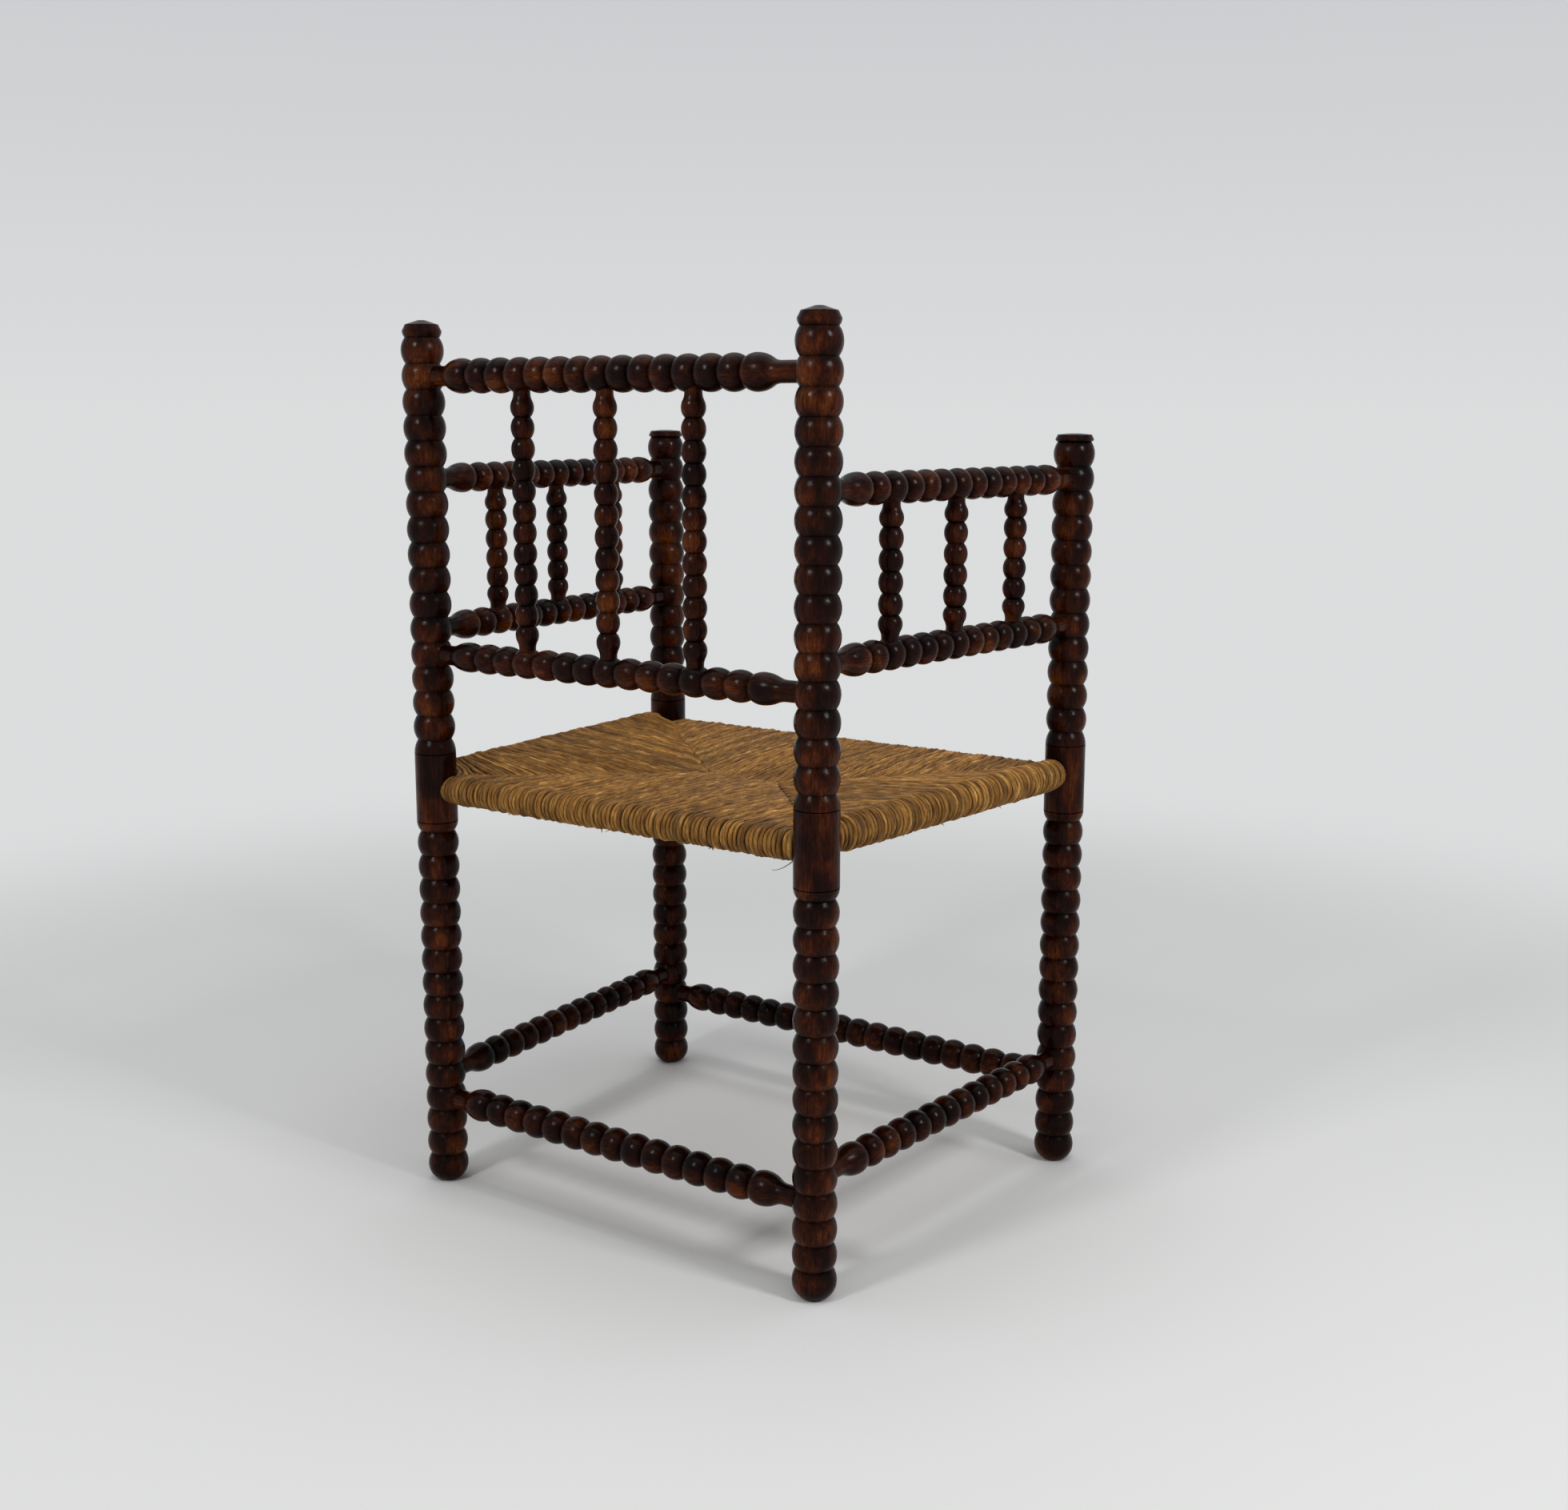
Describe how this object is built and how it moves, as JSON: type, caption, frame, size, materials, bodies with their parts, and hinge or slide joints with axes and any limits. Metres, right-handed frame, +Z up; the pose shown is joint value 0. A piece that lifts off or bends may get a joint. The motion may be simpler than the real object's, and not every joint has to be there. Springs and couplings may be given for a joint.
{
  "type": "bead-turned armchair",
  "caption": "Four-post wooden armchair with bead-turned posts, rails and spindles, blind socket joints and a woven rush seat.",
  "frame": {"origin": "on the floor, at the middle of the chair's bounding box", "axes": "+Z up, the chair faces -Y, +X is the sitter's left"},
  "size_m": [0.5996, 0.481, 0.9267],
  "materials": {
    "turned_wood": "dark stained, satin polish",
    "rush": "twisted rush, matt"
  },
  "bodies": {
    "root": {"arm_lower_rail_left": "turned_wood", "arm_lower_rail_right": "turned_wood", "arm_rail_left": "turned_wood", "arm_rail_right": "turned_wood", "back_lower_rail": "turned_wood", "back_post_left": "turned_wood", "back_post_right": "turned_wood", "back_seat_rail": "turned_wood", "back_spindle_1": "turned_wood", "back_spindle_2": "turned_wood", "back_spindle_3": "turned_wood", "back_stretcher": "turned_wood", "back_top_rail": "turned_wood", "front_post_left": "turned_wood", "front_post_right": "turned_wood", "front_seat_rail": "turned_wood", "front_stretcher": "turned_wood", "left_arm_spindle_1": "turned_wood", "left_arm_spindle_2": "turned_wood", "left_arm_spindle_3": "turned_wood", "left_seat_rail": "turned_wood", "left_stretcher": "turned_wood", "right_arm_spindle_1": "turned_wood", "right_arm_spindle_2": "turned_wood", "right_arm_spindle_3": "turned_wood", "right_seat_rail": "turned_wood", "right_stretcher": "turned_wood", "rush_seat": "rush"}
  },
  "joints": []
}
